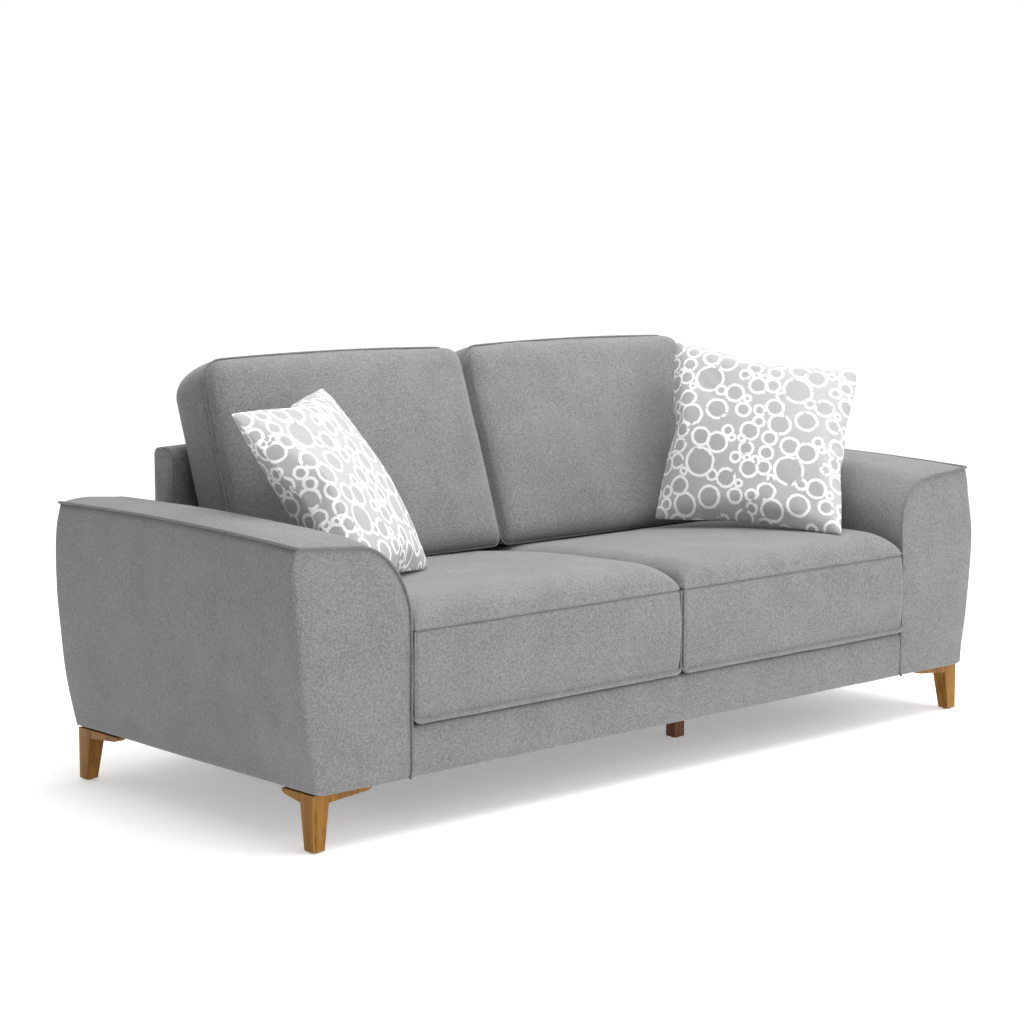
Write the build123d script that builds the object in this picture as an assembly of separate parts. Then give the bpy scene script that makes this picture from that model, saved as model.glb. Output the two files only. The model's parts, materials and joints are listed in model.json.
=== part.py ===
from build123d import *
import math
import os

# Two-seat upholstered sofa on four tapered oak legs. Millimetres, +Z up.
# Origin: centre of the footprint, on the floor. -Y is the front.
# Names say left and right as seen from the front, so left is -X.

# ---- driving dimensions -------------------------------------------------------------------
BODY_BOTTOM = 114.5          # underside of the upholstered body, also the height of the legs
DEPTH_HALF = 449.0           # half of the overall depth

ARM_INNER = 762.0            # half of the clear width between the arms
ARM_SHOULDER = 884.0         # where the rounded inner shoulder meets the arm top
ARM_OUTER = 1028.0           # outer top corner of the arm
ARM_TOP = 609.0              # height of that corner at the crown of the arm
ARM_SHOULDER_RX = 122.0      # width of the elliptical shoulder
ARM_SHOULDER_RZ = 152.0      # height of the elliptical shoulder
ARM_SHOULDER_DROP = 12.0     # the shoulder is this much lower than the outer corner
ARM_SIDE = [(1035.0, 520.0), (1031.0, 402.0), (1019.0, 255.0), (997.0, 114.5), (987.0, 60.0)]
ARM_CROWN_R = 10700.0        # the top of the arm is a long arc from front to back
ARM_CROWN_Y = 131.0          # its highest point
ARM_FRONT_BOTTOM = -435.0    # the front panel leans back a little
ARM_FRONT_TOP = -420.0
ARM_FRONT_TOP_Z = 600.0
ARM_REAR = 416.0
PIPING_R = 2.6

FABRIC = 1.5                 # woven velvet with its backing
GAP = 0.5                    # clearance between a cover and what it covers
WRAP = 12.0                  # foam sheet wrapped over the arm and back frames

LEG_TOP = 42.0               # square section of a leg under the body
LEG_FOOT = 28.0              # and at the floor
LEG_CORNER_X = 997.0         # outer corner of the legs
LEG_FRONT_Y = -422.0
LEG_REAR_Y = 406.0
GLIDE_R = 9.0
GLIDE_H = 3.0
WING_LONG = 105.0            # two brackets run from each leg along the body, a long and a short one
WING_SHORT = 56.0
WING_DEPTH = 18.5            # at the leg
WING_TIP_DEPTH = 10.0        # the lower edge rises towards the tip
WING_THICK = 24.0
CENTRE_LEG = 30.0
CENTRE_LEG_X = 254.0         # stands under the stretcher on this side only
CENTRE_LEG_Y = -180.0

RAIL = 25.0                  # thickness of the seat frame's rails
RAIL_LOW = 120.0
RAIL_TOP = 215.0
SEAT_BOX_HALF = 760.0
FRONT_RAIL_Y = -431.0        # outer face of the front rail
REAR_RAIL_Y = 440.0          # outer face of the rear rail
DECK = 219.5                 # top of the pad over the springs
STRETCHER_X = 254.0
STRETCHER_W = 40.0
SPRINGS = 8
SPRING_WIRE_R = 1.9
SPRING_HALF_WIDTH = 22.0
SPRING_BENDS = 13
SPRING_Z = 207.0

BACK_HALF = 752.0            # half width of the upholstered back frame
BACK_TOP = 712.0
BACK_FRONT = [(282.0, 222.0), (282.0, 432.0), (372.0, 712.0)]
BACK_REAR_TOP = 445.0
BACK_POST_Y = (405.0, 430.0)

SEAT_WIDTH = 761.0           # one seat cushion
SEAT_BOTTOM = 220.0
SEAT_REAR = 280.0
SEAT_SEAM = (-440.0, 410.0)  # front top seam
SEAT_CROWN = (-80.0, 448.0)
SEAT_REAR_TOP = 409.0

CUSHION_WIDTH = 740.0        # one back cushion
CUSHION_BOTTOM = 440.0
CUSHION_FRONT = 132.0
CUSHION_TOP = 908.0
CUSHION_PROFILE = [(298.0, 890.0), (322.0, 908.0), (352.0, 900.0), (393.0, 835.0), (280.0, 440.0)]
CUSHION_CORNER = 70.0        # rounding of its top corners seen from the front

PILLOW_THICK = 130.0
# corners of the two scatter pillows: lower left, lower right, upper right, upper left
PILLOWS = {
    "left": [(-722, -252, 462), (-428, -92, 462), (-500, 165, 836), (-905, -62, 818)],
    "right": [(452, 86, 484), (602, -384, 477), (880, -198, 839), (614, 178, 909)],
}

BOLT_R = 4.0
BOLT_HOLE_R = 4.3
SCREW_R = 2.0
SCREW_HOLE_R = 2.2
SCREW_HEAD_RISE = 7.6        # top of a bracket's screw head above the bracket's lowest edge

os.makedirs("parts", exist_ok=True)
SIDES = (("left", -1), ("right", 1))


# ---- helpers ------------------------------------------------------------------------------
def block(x0, x1, y0, y1, z0, z1):
    """A box between two corners."""
    size = (abs(x1 - x0), abs(y1 - y0), abs(z1 - z0))
    centre = ((x0 + x1) / 2, (y0 + y1) / 2, (z0 + z1) / 2)
    return Pos(*centre) * Box(*size)


def rod(start, direction, length, radius):
    """A round bar from start along a unit direction."""
    plane = Plane(origin=start, z_dir=direction)
    return extrude(plane * Circle(radius), length)


def side_prism(outline, x0, x1, corner_radii=None):
    """Extrude a (y, z) outline along X; corner_radii maps an outline corner to its rounding."""
    face = make_face(Polyline(*outline, close=True))
    for corner, radius in (corner_radii or {}).items():
        near = face.vertices().sort_by_distance(Vector(corner[0], corner[1], 0))[0]
        face = fillet(near, radius)
    return Pos(x0, 0, 0) * extrude(Plane.YZ * face, x1 - x0)


def mirrored(shape, sign):
    """The shape itself on the right (+X), its mirror image on the left."""
    return shape if sign > 0 else mirror(shape, Plane.YZ)


def save(shape, node):
    """Write one sub-part; a list becomes a group of separate solids."""
    if isinstance(shape, list):
        shape = Compound(children=[s for item in shape for s in item.solids()])
    elif len(shape.solids()) == 1:
        shape = shape.solids()[0]
    else:
        shape = Compound(children=list(shape.solids()))
    export_step(shape, f"parts/{node}.step")


# ---- arms ---------------------------------------------------------------------------------
def arm_section(inset):
    """Front outline of the right arm at its crown, as a face on the XZ plane, drawn inwards by inset."""
    shoulder_z = ARM_TOP - ARM_SHOULDER_DROP - ARM_SHOULDER_RZ
    floor_z = ARM_SIDE[-1][1]
    inner = (ARM_INNER + inset, shoulder_z)
    crest = (ARM_SHOULDER, shoulder_z + ARM_SHOULDER_RZ - inset)
    corner = (ARM_OUTER - inset, ARM_TOP - inset)
    side = [(x - inset, z) for x, z in ARM_SIDE]
    edges = [
        Line((inner[0], floor_z), inner),
        EllipticalCenterArc((ARM_SHOULDER, shoulder_z), ARM_SHOULDER_RX - inset,
                            ARM_SHOULDER_RZ - inset, start_angle=90, arc_size=90),
        Line(crest, corner),
        Spline(corner, *side),
        Line(side[-1], (inner[0], floor_z)),
    ]
    return make_face(edges)


def arm_block(inset, bottom):
    """The right arm's body: its section swept along the crown, cut by the front, rear and bottom planes."""
    swing = 4.0
    axis = Axis((0, ARM_CROWN_Y, ARM_TOP - ARM_CROWN_R), (1, 0, 0))
    section = Plane.XZ.offset(-ARM_CROWN_Y) * arm_section(inset)
    body = revolve(section.rotate(axis, -swing), axis, 2 * swing)
    lean = (ARM_FRONT_TOP - ARM_FRONT_BOTTOM) / (ARM_FRONT_TOP_Z - BODY_BOTTOM)
    high = ARM_TOP + 40.0
    front_low = ARM_FRONT_BOTTOM + inset + lean * (bottom - BODY_BOTTOM)
    front_high = ARM_FRONT_BOTTOM + inset + lean * (high - BODY_BOTTOM)
    rear = ARM_REAR - inset
    outline = [(front_low, bottom), (rear, bottom), (rear, high), (front_high, high)]
    return body & side_prism(outline, ARM_INNER - 10, ARM_OUTER + 40)


def arm_drop(y):
    """How far the arm's crown has fallen at y."""
    return ARM_CROWN_R - math.sqrt(ARM_CROWN_R**2 - (y - ARM_CROWN_Y) ** 2)


def arm_piping():
    """Cord on the arm's outer top edge, and another round the front panel."""
    out = PIPING_R + 0.3
    front = ARM_FRONT_TOP - out
    ends = [(y, ARM_TOP - arm_drop(y) + out) for y in (ARM_FRONT_TOP + 4, ARM_CROWN_Y, ARM_REAR)]
    top_path = ThreePointArc(*[(ARM_OUTER + 1.2, y, z) for y, z in ends])
    top_cord = sweep(Plane(origin=top_path @ 0, z_dir=top_path % 0) * Circle(PIPING_R), path=top_path)
    lean = (ARM_FRONT_TOP - ARM_FRONT_BOTTOM) / (ARM_FRONT_TOP_Z - BODY_BOTTOM)
    drop = arm_drop(front)
    edge_x = ARM_INNER + PIPING_R + 2.5
    corner_z = ARM_TOP - drop - 3.0
    outline = [(edge_x, BODY_BOTTOM + 4), (edge_x, 505.0), (edge_x + 48, corner_z - 28.0),
               (ARM_SHOULDER + 20, corner_z - ARM_SHOULDER_DROP + 3), (ARM_OUTER - 4, corner_z)]
    points = [(x, ARM_FRONT_BOTTOM + lean * (z - BODY_BOTTOM) - out, z) for x, z in outline]
    path = FilletPolyline(*points, radius=60)
    front_cord = sweep(Plane(origin=path @ 0, z_dir=path % 0) * Circle(PIPING_R), path=path)
    return top_cord, front_cord


BASE_X = (ARM_INNER + 16, 981.0)          # the board that closes the bottom of an arm
BASE_Y = (-418.0, 399.0)
BASE_Z = (BODY_BOTTOM + 2, BODY_BOTTOM + 20)
POST_X = (ARM_INNER + 42, ARM_INNER + 87)
POST_Y = ((-405.0, -375.0), (360.0, 390.0))
POST_TOP = 520.0
BOLT_Y = (-390.0, 375.0)
BOLT_Z = 152.0
LEG_CENTRES = {"front": (LEG_CORNER_X - LEG_TOP / 2, LEG_FRONT_Y + LEG_TOP / 2),
               "rear": (LEG_CORNER_X - LEG_TOP / 2, LEG_REAR_Y - LEG_TOP / 2)}
LEG_BOLT_X = LEG_CORNER_X - LEG_TOP / 2 - 7
LEG_BOLT_TOP = BASE_Z[1] + 12


def leg_bolt_axis(end):
    x, y = LEG_CENTRES[end]
    return LEG_BOLT_X, y


def wing_boxes(end):
    """Extents (x0, x1, y0, y1) of the two brackets beside a right-hand leg, and their directions.
    The long bracket runs along the front of a front leg and along the side of a rear leg."""
    outer_y, inward = (LEG_FRONT_Y, 1) if end == "front" else (LEG_REAR_Y, -1)
    length_x, length_y = (WING_LONG, WING_SHORT) if end == "front" else (WING_SHORT, WING_LONG)
    start = LEG_TOP + GAP
    along_x = (LEG_CORNER_X - start - length_x, LEG_CORNER_X - start,
               outer_y, outer_y + inward * WING_THICK)
    along_y = (LEG_CORNER_X - WING_THICK, LEG_CORNER_X,
               outer_y + inward * start, outer_y + inward * (start + length_y))
    return along_x, along_y, inward


def wing_screw_points(end):
    """One screw halfway along each bracket, where it meets the base board."""
    along_x, along_y, _ = wing_boxes(end)
    return [((along_x[0] + along_x[1]) / 2, (along_x[2] + along_x[3]) / 2),
            (BASE_X[1] - 4, (along_y[2] + along_y[3]) / 2)]


def build_arm(side, sign):
    """Base board, posts, top board, foam wrap, cover and piping of one arm."""
    base = block(*BASE_X, *BASE_Y, *BASE_Z)
    for end in ("front", "rear"):
        x, y = leg_bolt_axis(end)
        base -= rod((x, y, BASE_Z[0] - 1), (0, 0, 1), 30, BOLT_HOLE_R + 0.7)
        for sx, sy in wing_screw_points(end):
            base -= rod((sx, sy, BASE_Z[0] - 1), (0, 0, 1), 30, SCREW_HOLE_R)
    save(mirrored(base, sign), f"arm_base_{side}")

    cover = arm_block(0, BODY_BOTTOM) - arm_block(FABRIC, BODY_BOTTOM - 5)
    foam = arm_block(FABRIC + GAP, BODY_BOTTOM + 1) - arm_block(FABRIC + GAP + WRAP, BODY_BOTTOM - 5)
    for name, (y0, y1), bolt_y in zip(("front", "rear"), POST_Y, BOLT_Y):
        hole = rod((700, bolt_y, BOLT_Z), (1, 0, 0), 160, BOLT_HOLE_R)
        post = block(*POST_X, y0, y1, BASE_Z[1] + 0.2, POST_TOP) - hole
        save(mirrored(post, sign), f"arm_{name}_post_{side}")
        cover -= hole
        foam -= hole
    top = block(ARM_INNER + 60, ARM_OUTER - 30, POST_Y[0][0], POST_Y[1][1], POST_TOP + 1, POST_TOP + 19)
    save(mirrored(top, sign), f"arm_top_board_{side}")
    save(mirrored(foam, sign), f"arm_foam_{side}")
    save(mirrored(cover, sign), f"arm_cover_{side}")
    save([mirrored(cord, sign) for cord in arm_piping()], f"arm_piping_{side}")


# ---- legs ---------------------------------------------------------------------------------
def build_leg(end):
    """Right-hand leg: its two outer faces are upright and its two inner faces taper."""
    outer_y, inward = (LEG_FRONT_Y, 1) if end == "front" else (LEG_REAR_Y, -1)

    def section(size, z):
        centre = (LEG_CORNER_X - size / 2, outer_y + inward * size / 2, z)
        return Pos(*centre) * Rectangle(size, size)

    leg = loft([section(LEG_FOOT, GLIDE_H), section(LEG_TOP, BODY_BOTTOM - 0.2)])
    x, y = leg_bolt_axis(end)
    return leg - rod((x, y, BODY_BOTTOM - 45), (0, 0, 1), 60, BOLT_HOLE_R)


def build_wings(end):
    """The two brackets beside a right-hand leg; the lower edge rises to a rounded tip."""
    along_x, along_y, inward = wing_boxes(end)
    top = BODY_BOTTOM - 0.2

    def outline(leg_end, tip, away):
        """Side view from the leg end to the tip, which lies in the direction away (1 or -1)."""
        tip_low = top - WING_TIP_DEPTH
        return [(leg_end, top), (leg_end, top - WING_DEPTH), (tip - away * 9, tip_low),
                (tip - away * 2.5, tip_low + 4), (tip, top - 2), (tip, top)]

    face = make_face(Polyline(*outline(along_x[1], along_x[0], -1), close=True))
    first = extrude(Plane.XZ.offset(-min(along_x[2:])) * face, -WING_THICK)
    second = side_prism(outline(along_y[2], along_y[3], inward), along_y[0], along_y[1])
    wings = []
    for wing, (x, y) in zip((first, second), wing_screw_points(end)):
        head_hole = rod((x, y, top - WING_DEPTH), (0, 0, 1), SCREW_HEAD_RISE + 0.6, 2.2 * SCREW_R)
        wings.append(wing - rod((x, y, top - WING_DEPTH), (0, 0, 1), 40, SCREW_HOLE_R) - head_hole)
    return wings


def build_legs():
    wings, glides, bolts, nuts, screws = [], [], [], [], []
    for side, sign in SIDES:
        for end in ("front", "rear"):
            save(mirrored(build_leg(end), sign), f"leg_{end}_{side}")
            wings += [mirrored(wing, sign) for wing in build_wings(end)]
            outer_y, inward = (LEG_FRONT_Y, 1) if end == "front" else (LEG_REAR_Y, -1)
            foot = (sign * (LEG_CORNER_X - LEG_FOOT / 2), outer_y + inward * LEG_FOOT / 2, 0)
            glides.append(rod(foot, (0, 0, 1), GLIDE_H - 0.1, GLIDE_R))
            x, y = leg_bolt_axis(end)
            bolt_low = BODY_BOTTOM - 42
            bolts.append(rod((sign * x, y, bolt_low), (0, 0, 1), LEG_BOLT_TOP - bolt_low, BOLT_R))
            flange = rod((sign * x, y, BASE_Z[1] + 0.1), (0, 0, 1), 1.6, 11)
            barrel_length = BASE_Z[1] - BASE_Z[0] - 1.9
            barrel = rod((sign * x, y, BASE_Z[0] + 2), (0, 0, 1), barrel_length, BOLT_HOLE_R + 0.6)
            nuts.append(flange + barrel - rod((sign * x, y, BASE_Z[0]), (0, 0, 1), 40, BOLT_R + 0.1))
            for sx, sy in wing_screw_points(end):
                head_z = BODY_BOTTOM - 0.2 - WING_DEPTH + SCREW_HEAD_RISE
                shank = rod((sign * sx, sy, head_z), (0, 0, 1), 30, SCREW_R)
                head = rod((sign * sx, sy, head_z - 2.5), (0, 0, 1), 2.0, 1.9 * SCREW_R)
                neck = rod((sign * sx, sy, head_z - 1), (0, 0, 1), 2.0, SCREW_R)
                screws.append(shank + neck + head)
    half = CENTRE_LEG / 2
    leg = block(CENTRE_LEG_X - half, CENTRE_LEG_X + half, CENTRE_LEG_Y - half, CENTRE_LEG_Y + half,
                GLIDE_H, RAIL_LOW + 9.8)
    hole = rod((CENTRE_LEG_X, CENTRE_LEG_Y, RAIL_LOW - 30), (0, 0, 1), 60, BOLT_HOLE_R)
    save(leg - hole, "centre_leg")
    glides.append(rod((CENTRE_LEG_X, CENTRE_LEG_Y, 0), (0, 0, 1), GLIDE_H - 0.1, GLIDE_R))
    bolts.append(rod((CENTRE_LEG_X, CENTRE_LEG_Y, RAIL_LOW - 28), (0, 0, 1), 75, BOLT_R))
    save(wings, "leg_wings")
    save(glides, "floor_glides")
    save(bolts, "leg_bolts")
    save(nuts, "leg_tee_nuts")
    save(screws, "wing_screws")


# ---- seat frame ---------------------------------------------------------------------------
def spring():
    """One zigzag spring, lying front to back and centred on X = 0."""
    y0, y1 = FRONT_RAIL_Y + RAIL + 10, REAR_RAIL_Y - RAIL - 10
    pitch = (y1 - y0) / SPRING_BENDS
    points = [(0, y0)]
    for bend in range(SPRING_BENDS):
        x = SPRING_HALF_WIDTH if bend % 2 else -SPRING_HALF_WIDTH
        points += [(x, y0 + pitch * (bend + 0.12)), (x, y0 + pitch * (bend + 0.88))]
    points.append((0, y1))
    path = FilletPolyline(*[(x, y, SPRING_Z) for x, y in points], radius=15)
    return sweep(Plane(origin=path @ 0, z_dir=path % 0) * Circle(SPRING_WIRE_R), path=path)


def build_seat_frame():
    inner_half = SEAT_BOX_HALF - RAIL
    front_inner, rear_inner = FRONT_RAIL_Y + RAIL, REAR_RAIL_Y - RAIL
    save(block(-SEAT_BOX_HALF, SEAT_BOX_HALF, FRONT_RAIL_Y, front_inner, RAIL_LOW, RAIL_TOP), "front_rail")
    save(block(-SEAT_BOX_HALF, SEAT_BOX_HALF, rear_inner, REAR_RAIL_Y, RAIL_LOW, RAIL_TOP), "rear_rail")
    bolts = []
    for side, sign in SIDES:
        rail = block(inner_half, SEAT_BOX_HALF, front_inner + 0.1, rear_inner - 0.1, RAIL_LOW, RAIL_TOP)
        for bolt_y in BOLT_Y:
            rail -= rod((700, bolt_y, BOLT_Z), (1, 0, 0), 100, BOLT_HOLE_R)
            head = rod((sign * (inner_half - 5.6), bolt_y, BOLT_Z), (sign, 0, 0), 5.5, 8)
            shank = rod((sign * (inner_half - 1), bolt_y, BOLT_Z), (sign, 0, 0), 100, BOLT_R)
            bolts.append(head + shank)
        save(mirrored(rail, sign), f"side_rail_{side}")
        half = STRETCHER_W / 2
        stretcher = block(STRETCHER_X - half, STRETCHER_X + half, front_inner + 0.1, rear_inner - 0.1,
                          RAIL_LOW + 10, RAIL_LOW + 70)
        if sign > 0:
            stretcher -= rod((CENTRE_LEG_X, CENTRE_LEG_Y, RAIL_LOW), (0, 0, 1), 80, BOLT_HOLE_R)
        save(mirrored(stretcher, sign), f"stretcher_{side}")
    save(bolts, "arm_bolts")

    blocks = []
    reach = 60.0
    for sign in (-1, 1):
        for y, inward in ((front_inner + 0.2, 1), (rear_inner - 0.2, -1)):
            x = sign * (inner_half - 0.2)
            corner = make_face(Polyline((x, y), (x - sign * reach, y), (x, y + inward * reach), close=True))
            blocks.append(Pos(0, 0, RAIL_LOW + 48) * extrude(corner, 28))
    save(blocks, "corner_blocks")

    wire = spring()
    spacing = 2 * inner_half / SPRINGS
    xs = [-inner_half + spacing * (index + 0.5) for index in range(SPRINGS)]
    save([Pos(x, 0, 0) * wire for x in xs], "seat_springs")
    clips = []
    for x in xs:
        for y in (front_inner + 0.1, rear_inner - 7.1):
            clips.append(block(x - 9, x + 9, y, y + 7, SPRING_Z - 5, SPRING_Z + 5)
                         - block(x - 6, x + 6, y + 1.5, y + 5.5, SPRING_Z - 3, SPRING_Z + 3))
    save(clips, "spring_clips")
    save(block(-inner_half + 2, inner_half - 2, front_inner + 2, SEAT_REAR, SPRING_Z + 5.2, DECK), "deck_pad")
    dust = block(-inner_half - 10, inner_half + 10, FRONT_RAIL_Y + 12, REAR_RAIL_Y - 10,
                 RAIL_LOW - 1.4, RAIL_LOW - 0.2)
    opening = CENTRE_LEG / 2 + 1
    dust -= block(CENTRE_LEG_X - opening, CENTRE_LEG_X + opening, CENTRE_LEG_Y - opening,
                  CENTRE_LEG_Y + opening, RAIL_LOW - 5, RAIL_LOW + 5)
    save(dust, "dust_cover")

    front = ARM_FRONT_BOTTOM
    outline = [(front, BODY_BOTTOM), (front + 14, BODY_BOTTOM), (front + 14, BODY_BOTTOM + FABRIC),
               (front + FABRIC, BODY_BOTTOM + FABRIC), (front + FABRIC, DECK - FABRIC),
               (front + 28, DECK - FABRIC), (front + 28, DECK), (front, DECK)]
    save(side_prism(outline, -SEAT_BOX_HALF - 1, SEAT_BOX_HALF + 1), "front_rail_cover")


# ---- back frame ---------------------------------------------------------------------------
def back_block(inset, bottom):
    """The upholstered back frame's body, drawn inwards by inset."""
    outline = BACK_FRONT + [(BACK_REAR_TOP, BACK_TOP), (DEPTH_HALF, BACK_FRONT[0][1])]
    face = make_face(Polyline(*outline, close=True))
    corners = face.vertices().sort_by(Axis.Y)[-2:]
    face = fillet(corners, 24)
    if inset:
        face = offset(face, -inset)
    body = Pos(-BACK_HALF + inset, 0, 0) * extrude(Plane.YZ * face, 2 * (BACK_HALF - inset))
    if bottom < BACK_FRONT[0][1] + inset:
        low = face.vertices().sort_by(Axis.Y)[:2].sort_by(Axis.X)
        y0, y1, z = low[0].X, low[-1].X, low[0].Y
        body += block(-BACK_HALF + inset, BACK_HALF - inset, y0, y1, bottom, z + 0.01)
    return body


def build_back():
    floor = BACK_FRONT[0][1]
    cover = back_block(0, floor) - back_block(FABRIC, floor - 5)
    tail = block(-BACK_HALF, BACK_HALF, DEPTH_HALF - FABRIC, DEPTH_HALF, BODY_BOTTOM, floor + 0.5)
    save(cover + tail, "back_cover")
    foam = back_block(FABRIC + GAP, floor + 1) - back_block(FABRIC + GAP + WRAP, floor - 5)
    save(foam, "back_foam")

    y0, y1 = BACK_POST_Y
    post_half, post_top = 22.5, 664.0
    post_xs = (-BACK_HALF + 45, 0, BACK_HALF - 45)
    low = RAIL_TOP + 0.2
    save([block(x - post_half, x + post_half, y0, y1, low, post_top) for x in post_xs], "back_posts")
    reach = BACK_HALF - 45 + post_half
    save(block(-reach, reach, y0, y1, post_top + 0.2, post_top + 25), "back_top_rail")
    spans = [(post_xs[i] + post_half + 0.1, post_xs[i + 1] - post_half - 0.1) for i in (0, 1)]
    save([block(a, b, y0, y1, 235, 290) for a, b in spans], "back_lower_rails")
    straps = []
    for index in range(8):
        x = -reach + 2 * reach * (index + 0.5) / 8
        straps.append(block(x - 25, x + 25, y0 - 2.2, y0 - 0.2, 238, post_top + 20))
    save(straps, "back_webbing")


# ---- cushions -----------------------------------------------------------------------------
def seat_block(inset):
    """A seat cushion centred on X = 0: flat underneath, crowned on top."""
    front_low = (-DEPTH_HALF, SEAT_BOTTOM + 22)
    edges = [
        Line((SEAT_REAR, SEAT_BOTTOM), (-DEPTH_HALF + 16, SEAT_BOTTOM)),
        ThreePointArc((-DEPTH_HALF + 16, SEAT_BOTTOM), (-DEPTH_HALF + 4.2, SEAT_BOTTOM + 6), front_low),
        Line(front_low, SEAT_SEAM),
        ThreePointArc(SEAT_SEAM, SEAT_CROWN, (SEAT_REAR, SEAT_REAR_TOP)),
        Line((SEAT_REAR, SEAT_REAR_TOP), (SEAT_REAR, SEAT_BOTTOM)),
    ]
    face = make_face(edges)
    if inset:
        face = offset(face, -inset, kind=Kind.INTERSECTION)
    half = SEAT_WIDTH / 2 - inset
    return Pos(-half, 0, 0) * extrude(Plane.YZ * face, 2 * half)


def cushion_block(inset):
    """A back cushion centred on X = 0: it leans back, and its top corners are rounded."""
    outline = [(CUSHION_FRONT, CUSHION_BOTTOM)] + CUSHION_PROFILE
    face = make_face(Polyline(*outline, close=True))
    if inset:
        face = offset(face, -inset, kind=Kind.INTERSECTION)
    half = CUSHION_WIDTH / 2 - inset
    body = Pos(-half, 0, 0) * extrude(Plane.YZ * face, 2 * half)
    height = CUSHION_TOP - inset - (CUSHION_BOTTOM - 20)
    front = Rectangle(2 * half, height)
    top_corners = front.vertices().sort_by(Axis.Y)[-2:]
    front = Pos(0, CUSHION_BOTTOM - 20 + height / 2) * fillet(top_corners, CUSHION_CORNER - inset)
    return body & extrude(Plane.XZ * front, -600)


def pillow_block(corners, inset):
    """A scatter pillow: a waisted four-cornered pad, widest at its seam and thinner towards both faces."""
    points = [Vector(*corner) for corner in corners]
    centre = (points[0] + points[1] + points[2] + points[3]) * 0.25
    along = ((points[1] + points[2]) - (points[0] + points[3])).normalized()
    up = (points[2] + points[3]) - (points[0] + points[1])
    normal = along.cross(up).normalized()
    plane = Plane(origin=centre, x_dir=along, z_dir=normal)
    flat = [plane.to_local_coords(point) for point in points]
    flat = [(point.X, point.Y) for point in flat]

    def section(scale, height):
        shrink = scale - inset / 220
        outline = [(x * shrink, y * shrink) for x, y in flat]
        return Pos(0, 0, height) * make_face(Polyline(*outline, close=True))

    half = PILLOW_THICK / 2 - inset
    lower = loft([section(0.62, -half), section(1.0, -4)], ruled=True)
    middle = loft([section(1.0, -4), section(1.0, 4)], ruled=True)
    upper = loft([section(1.0, 4), section(0.62, half)], ruled=True)
    return plane * (lower + middle + upper)


def build_cushions():
    shell = FABRIC + GAP
    seat_cover = seat_block(0) - seat_block(FABRIC)
    seat_foam = seat_block(shell)
    back_cover = cushion_block(0) - cushion_block(FABRIC)
    back_filling = cushion_block(shell)
    for side, sign in SIDES:
        seat_x = sign * (SEAT_WIDTH / 2 + 0.5)
        save(Pos(seat_x, 0, 0) * seat_cover, f"seat_cover_{side}")
        save(Pos(seat_x, 0, 0) * seat_foam, f"seat_foam_{side}")
        zip_z = (SEAT_BOTTOM + SEAT_REAR_TOP) / 2
        save(block(seat_x - 290, seat_x + 290, SEAT_REAR + 0.2, SEAT_REAR + 1.2, zip_z - 6, zip_z + 6),
             f"seat_zip_{side}")
        back_x = sign * (CUSHION_WIDTH / 2 + 0.8)
        save(Pos(back_x, 0, 0) * back_cover, f"back_cushion_cover_{side}")
        save(Pos(back_x, 0, 0) * back_filling, f"back_cushion_filling_{side}")
        save(block(back_x - 270, back_x + 270, 219, 231, CUSHION_BOTTOM - 1.2, CUSHION_BOTTOM - 0.2),
             f"back_cushion_zip_{side}")
        corners = PILLOWS[side]
        save(pillow_block(corners, 0) - pillow_block(corners, FABRIC), f"pillow_cover_{side}")
        save(pillow_block(corners, shell), f"pillow_filling_{side}")


build_seat_frame()
build_legs()
for side_name, side_sign in SIDES:
    build_arm(side_name, side_sign)
build_back()
build_cushions()
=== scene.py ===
import json
import math
import random

import bmesh
import bpy
import numpy as np
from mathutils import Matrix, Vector, noise


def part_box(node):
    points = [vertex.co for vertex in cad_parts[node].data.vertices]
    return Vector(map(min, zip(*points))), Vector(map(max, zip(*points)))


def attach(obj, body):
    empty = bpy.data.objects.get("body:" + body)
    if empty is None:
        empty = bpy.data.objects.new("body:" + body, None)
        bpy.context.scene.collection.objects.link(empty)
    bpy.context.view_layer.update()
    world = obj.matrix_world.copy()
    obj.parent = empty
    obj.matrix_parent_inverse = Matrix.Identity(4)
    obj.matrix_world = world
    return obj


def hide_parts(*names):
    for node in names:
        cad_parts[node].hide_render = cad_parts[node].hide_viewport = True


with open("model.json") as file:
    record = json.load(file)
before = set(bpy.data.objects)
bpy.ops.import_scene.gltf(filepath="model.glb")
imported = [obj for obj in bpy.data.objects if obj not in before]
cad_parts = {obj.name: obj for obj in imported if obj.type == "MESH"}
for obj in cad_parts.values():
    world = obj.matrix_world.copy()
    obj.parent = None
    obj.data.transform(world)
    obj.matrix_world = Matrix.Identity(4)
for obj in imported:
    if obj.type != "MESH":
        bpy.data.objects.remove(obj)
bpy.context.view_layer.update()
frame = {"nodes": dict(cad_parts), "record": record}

# A two-seat sofa in brushed velvet on oak legs. Metres, +Z up, -Y the front.
# Most soft pieces are a stack of rings closed by two caps, so each is one closed surface. The scatter
# pillows are two sewn panels blown up as cloth.

SIDES = (("left", -1), ("right", 1))


# ---- meshes -------------------------------------------------------------------------------
def mesh_object(name, points, faces, smooth=True):
    """A mesh object from vertices and faces, with its normals pointing out."""
    data = bpy.data.meshes.new(name)
    data.from_pydata([tuple(p) for p in points], [], faces)
    work = bmesh.new()
    work.from_mesh(data)
    bmesh.ops.recalc_face_normals(work, faces=work.faces)
    work.to_mesh(data)
    work.free()
    data.polygons.foreach_set("use_smooth", [smooth] * len(data.polygons))
    obj = bpy.data.objects.new(name, data)
    bpy.context.scene.collection.objects.link(obj)
    return obj


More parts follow.
